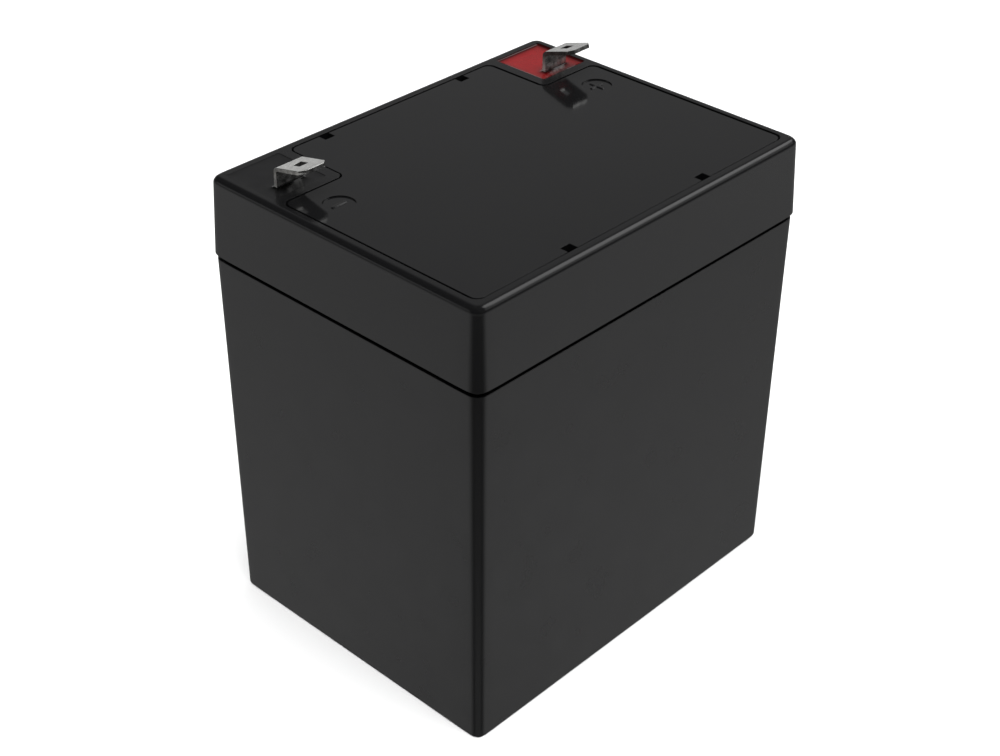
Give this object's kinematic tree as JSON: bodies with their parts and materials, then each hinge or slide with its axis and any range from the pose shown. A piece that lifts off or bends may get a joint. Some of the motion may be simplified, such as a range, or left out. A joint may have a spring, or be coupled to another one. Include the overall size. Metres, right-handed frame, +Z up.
{
  "type": "sealed lead acid battery",
  "caption": "Sealed lead acid battery: drafted black plastic case, overlapping lid with a flush vent cover, and bent blade terminals potted in epoxy.",
  "frame": {"origin": "middle of the footprint, on the flat bottom", "axes": "+Z up, +X along the length from the negative to the positive terminal, +Y towards the long side that carries the terminals"},
  "size_m": [0.09, 0.07, 0.1022],
  "materials": {
    "case_plastic": "satin moulded plastic",
    "cover_plastic": "polished moulded plastic",
    "tinned_metal": "bright tin plating on sheet metal",
    "red_epoxy": "poured glossy epoxy",
    "black_epoxy": "poured glossy epoxy",
    "rubber": "moulded rubber",
    "positive_lead": "brown lead dioxide paste on a cast lead grid",
    "negative_lead": "grey sponge lead on a cast lead grid",
    "glass_mat": "absorbent glass fibre mat",
    "adhesive": "cured epoxy glue"
  },
  "bodies": {
    "root": {"container": "case_plastic", "lid": "case_plastic", "lid_adhesive": "adhesive", "vent_cover": "cover_plastic", "valve_cap_1": "rubber", "valve_cap_2": "rubber", "valve_cap_3": "rubber", "valve_cap_4": "rubber", "valve_cap_5": "rubber", "valve_cap_6": "rubber", "positive_terminal": "tinned_metal", "negative_terminal": "tinned_metal", "positive_epoxy": "red_epoxy", "negative_epoxy": "black_epoxy", "positive_post_seal": "rubber", "negative_post_seal": "rubber", "positive_plates_1": "positive_lead", "positive_plates_2": "positive_lead", "positive_plates_3": "positive_lead", "positive_plates_4": "positive_lead", "positive_plates_5": "positive_lead", "positive_plates_6": "positive_lead", "negative_plates_1": "negative_lead", "negative_plates_2": "negative_lead", "negative_plates_3": "negative_lead", "negative_plates_4": "negative_lead", "negative_plates_5": "negative_lead", "negative_plates_6": "negative_lead", "glass_mat_1": "glass_mat", "glass_mat_2": "glass_mat", "glass_mat_3": "glass_mat", "glass_mat_4": "glass_mat", "glass_mat_5": "glass_mat", "glass_mat_6": "glass_mat", "cell_weld_1": "negative_lead", "cell_weld_2": "negative_lead", "cell_weld_3": "negative_lead", "cell_weld_4": "negative_lead", "cell_weld_5": "negative_lead"}
  },
  "joints": []
}
